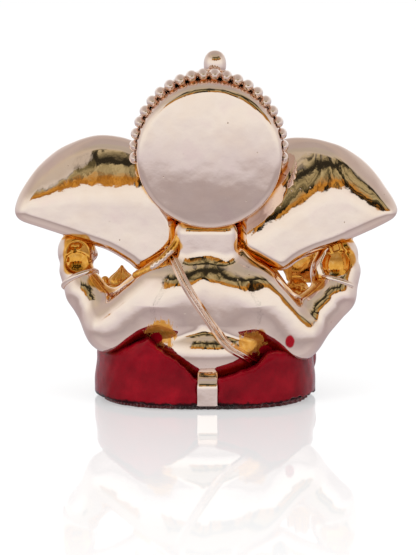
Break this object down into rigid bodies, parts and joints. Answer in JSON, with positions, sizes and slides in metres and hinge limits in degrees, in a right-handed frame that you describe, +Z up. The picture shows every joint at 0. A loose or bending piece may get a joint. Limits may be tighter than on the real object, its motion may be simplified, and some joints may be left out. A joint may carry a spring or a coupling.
{
  "type": "ganesha idol",
  "caption": "Seated four-armed ganesha figure with wide fan ears, round beaded crown and red enamelled lower garment, resting on a flat felt base.",
  "frame": {"origin": "middle of the idol's footprint on the flat underside of the felt pad", "axes": "+Z up; the idol faces -Y and its own left hand is towards +X"},
  "size_m": [0.0865, 0.0458, 0.08],
  "materials": {
    "gold_plate": "polished",
    "red_enamel": "gloss",
    "ivory_enamel": "gloss",
    "felt": "matte",
    "plug_rubber": "matte"
  },
  "bodies": {
    "root": {"torso": "gold_plate", "drain_plug": "plug_rubber", "sash_tail": "gold_plate", "right_leg": "red_enamel", "left_leg": "red_enamel", "right_foot": "gold_plate", "left_foot": "gold_plate", "neck": "gold_plate", "head": "gold_plate", "crown_back_plate": "gold_plate", "crown_rim_beads": "gold_plate", "crown_front": "gold_plate", "crown_band_beads": "gold_plate", "crown_plaque": "gold_plate", "crown_jewel": "red_enamel", "finial": "gold_plate", "left_ear": "gold_plate", "right_ear": "gold_plate", "trunk": "gold_plate", "left_tusk": "ivory_enamel", "right_tusk": "ivory_enamel", "left_rear_arm": "gold_plate", "right_rear_arm": "gold_plate", "left_front_arm": "gold_plate", "right_front_arm": "gold_plate", "left_rear_hand": "gold_plate", "right_rear_hand": "gold_plate", "left_front_hand": "gold_plate", "right_front_hand": "gold_plate", "left_rear_bangle": "gold_plate", "right_rear_bangle": "gold_plate", "left_front_bangle": "gold_plate", "right_front_bangle": "gold_plate", "axe_handle": "gold_plate", "axe_blade": "gold_plate", "lotus": "gold_plate", "modak_sweet": "gold_plate", "sacred_thread": "gold_plate", "necklace": "gold_plate", "pendant": "gold_plate", "waist_belt": "gold_plate", "right_anklet": "gold_plate", "left_anklet": "gold_plate", "brow_mark": "red_enamel", "base_pad": "felt"}
  },
  "joints": []
}
